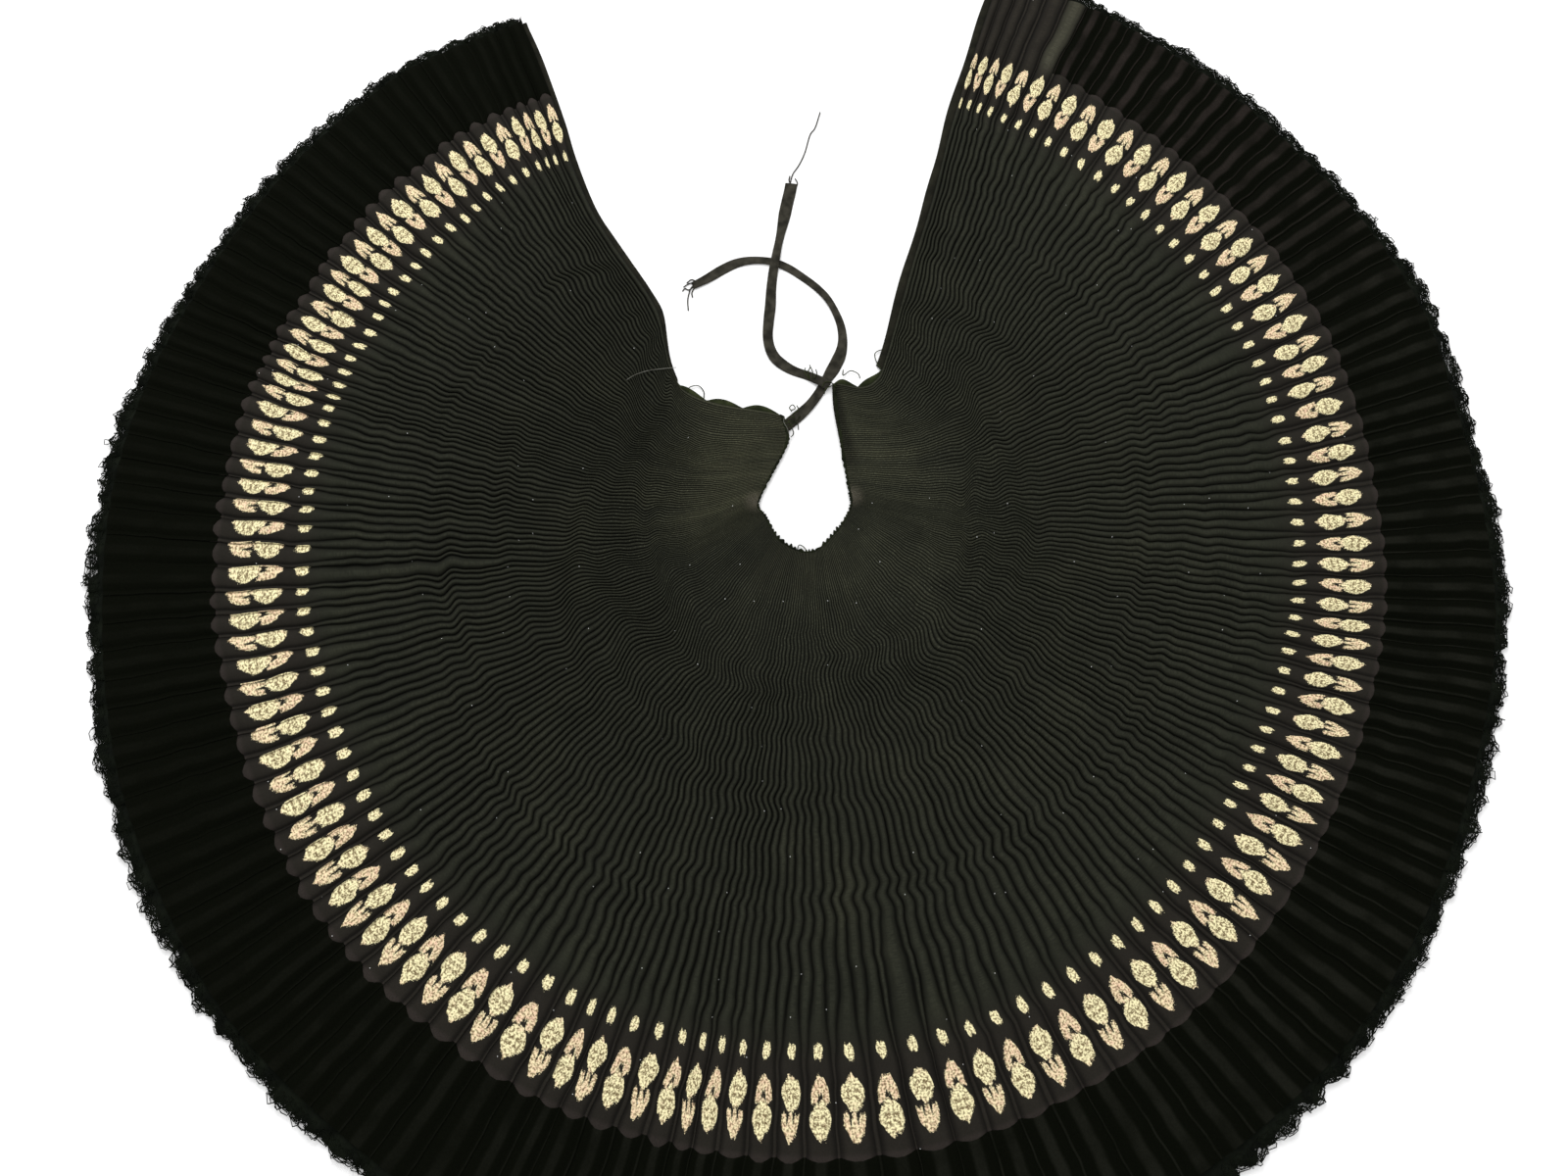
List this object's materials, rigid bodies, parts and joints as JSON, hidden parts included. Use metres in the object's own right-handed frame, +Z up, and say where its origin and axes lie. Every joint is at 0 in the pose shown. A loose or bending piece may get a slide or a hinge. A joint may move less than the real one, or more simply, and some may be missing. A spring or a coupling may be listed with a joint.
{
  "type": "pleated skirt",
  "caption": "Full pleated skirt laid flat, opened out round its waist hole, with a woven leaf and bud border, a velvet hem band, lace edging and two waist ties",
  "frame": {"origin": "Under the middle of the laid out cloth, on the surface it lies on", "axes": "+Z up out of the surface, +Y towards the opening between the two edges, +X to the right when the opening is at the top"},
  "size_m": [1.6756, 1.672, 0.0102],
  "materials": {
    "cloth": "fine black wool and cotton plisse",
    "opening_hem": "plain turned hem of the same cloth",
    "edging": "narrow dark green edging",
    "velvet": "black cotton velvet",
    "lace": "fine black machine lace",
    "tape": "faded black cotton tape"
  },
  "bodies": {
    "root": {"yoke_left": "cloth", "panel_left": "cloth", "yoke_back": "cloth", "panel_back": "cloth", "yoke_right": "cloth", "panel_right": "cloth", "yoke_front": "cloth", "panel_front": "cloth", "hem_underlap": "cloth", "velvet_band": "velvet", "lace_edging": "lace", "waist_binding": "edging", "opening_hem_left": "opening_hem", "opening_hem_right": "opening_hem", "yoke_edging_left": "edging", "yoke_edging_right": "edging", "tie_left": "tape", "tie_right": "tape"}
  },
  "joints": []
}
